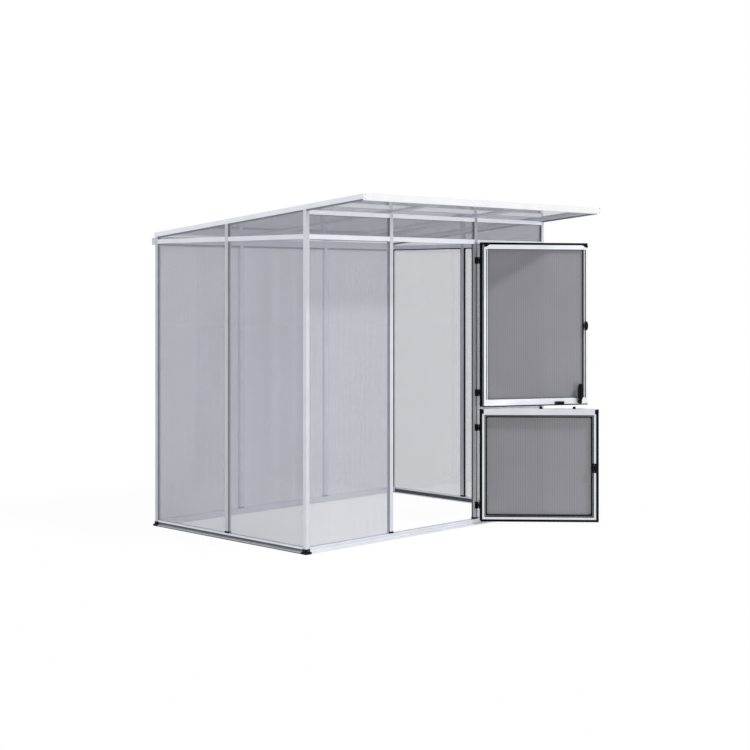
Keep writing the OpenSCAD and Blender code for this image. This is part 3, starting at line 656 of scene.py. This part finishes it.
# ---- raised rib of the lever ----
# A slim raised rib runs up the middle of the lever's grip, from above the boss to just short of
# the tip. It is moulded in one piece with the lever.
RIB_HALF, RIB_PROUD, RIB_SUNK, RIB_FROM, RIB_SHORT = 4 * MM, 3 * MM, 1 * MM, 34 * MM, 10 * MM
lever_low, lever_high = closed_box("lever_handle")
lever_mid = (lever_low.x + lever_high.x) / 2
bm = bmesh.new()
bar(bm, (lever_mid - RIB_HALF, lever_high.y - RIB_SUNK, lever_low.z + RIB_FROM),
    (lever_mid + RIB_HALF, lever_high.y + RIB_PROUD, lever_high.z - RIB_SHORT), places["upper"])
soften(bm, offset=1.8 * MM, segments=3)
piece("lever_rib", bm, nylon, "lever")

# ---- screws ----
# Small dark steel pan head screws with a round drive recess hold the moulded corners, the
# hinges, the latch, the bolt and the front ends of the roof sides.
CORNER_SCREW, END_SCREW, HINGE_SCREW, LATCH_SCREW = 3.2 * MM, 3 * MM, 2.6 * MM, 2.4 * MM
# Shares of the head's radius, and for the recess's depth of the head's height
HEAD_H, HEAD_TOP, RECESS_RIM, RECESS_D = 0.55, 0.85, 0.35, 0.6


def screw(bm, spot, facing, radius, place=Matrix()):
    """A pan head with a sunk drive recess, its underside on the given spot."""
    height = HEAD_H * radius
    made = bmesh.new()
    bmesh.ops.create_cone(made, cap_ends=True, segments=12, radius1=radius,
                          radius2=HEAD_TOP * radius, depth=height,
                          matrix=Matrix.Translation((0, 0, height / 2)))
    made.normal_update()
    top = max(made.faces, key=lambda face: face.calc_center_median().z)
    bmesh.ops.inset_region(made, faces=[top], thickness=RECESS_RIM * radius)
    bmesh.ops.translate(made, verts=top.verts[:], vec=(0, 0, -RECESS_D * height))
    turned = Vector((0, 0, 1)).rotation_difference(Vector(facing)).to_matrix().to_4x4()
    made.transform(place @ Matrix.Translation(spot) @ turned)
    add_to(bm, made)


def levels_of(node, gap=50 * MM):
    """The middle height of each separate group of a node's points."""
    heights = sorted(v.co.z for v in frame["nodes"][node].data.vertices)
    cuts = [n + 1 for n in range(len(heights) - 1) if heights[n + 1] - heights[n] > gap]
    return [(heights[a] + heights[b - 1]) / 2
            for a, b in zip([0] + cuts, cuts + [len(heights)])]


# The upper block of each corner stands back from the edge of its foot plate
PLATE_IN, CORNER_MID, BLOCK_Z = 7.5 * MM, 24.5 * MM, 23 * MM
bm = bmesh.new()
corner_low, corner_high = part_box("base_corners")
for x, out in ((corner_low.x, 1), (corner_high.x, -1)):
    for y, back in ((corner_low.y, 1), (corner_high.y, -1)):
        screw(bm, (x + out * CORNER_MID, y + back * PLATE_IN, BLOCK_Z), (0, -back, 0),
              CORNER_SCREW)
        screw(bm, (x + out * PLATE_IN, y + back * CORNER_MID, BLOCK_Z), (-out, 0, 0),
              CORNER_SCREW)

# Two screws in each hinge bracket
BRACKET_T, BRACKET_MID, HALF_PITCH = 4 * MM, 11.5 * MM, 14 * MM
for z in levels_of("hinge_brackets"):
    for side in (-1, 1):
        screw(bm, (pins["lower"].x - BRACKET_MID, -BRACKET_T, z + side * HALF_PITCH), (0, -1, 0),
              HINGE_SCREW)

# Two screws in the front end of each roof side, which is square to the slope
SIDE_END_H, END_SCREWS_UP = 43.9 * MM, (9 * MM, 35 * MM)
end_normal = Vector((0, -math.cos(fall), math.sin(fall)))
for node in ("roof_side_left", "roof_side_right"):
    end_low, end_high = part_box(node)
    end_foot = Vector(((end_low.x + end_high.x) / 2, end_low.y, end_high.z - SIDE_END_H))
    for up in END_SCREWS_UP:
        spot = end_foot + up * Vector((0, math.sin(fall), math.cos(fall)))
        screw(bm, spot, end_normal, END_SCREW)
screw_steel = aluminium("dark screw steel", Z, (0.16, 0.16, 0.17), (0.24, 0.24, 0.25),
                        metal_share=1)
piece("frame_screws", bm, screw_steel, "frame")

# Four screws in each hinge on the leaf's outer face, two in the bolt or latch inside
KNUCKLE_PROUD, PLATE_SCREWS = 4 * MM, (7 * MM, 23 * MM)
along_bolt, up_latch = Vector((25 * MM, 0, 0)), Vector((0, 0, 22 * MM))
for leaf, fitting, reach in (("upper", "upper_bolt", along_bolt),
                             ("lower", "lower_latch", up_latch)):
    bm = bmesh.new()
    plate_low = closed_box(leaf + "_hinges")[0]
    for z in levels_of(leaf + "_hinges"):
        for side in (-1, 1):
            for across in PLATE_SCREWS:
                spot = (plate_low.x + across, plate_low.y + KNUCKLE_PROUD, z + side * HALF_PITCH)
                screw(bm, spot, (0, -1, 0), HINGE_SCREW, places[leaf])
    low, high = closed_box(fitting)
    for side in (-1, 1):
        spot = (low + high) / 2 + side * reach
        screw(bm, (spot.x, high.y, spot.z), (0, 1, 0), LATCH_SCREW, places[leaf])
    piece(leaf + "_screws", bm, screw_steel, leaf + "_leaf")
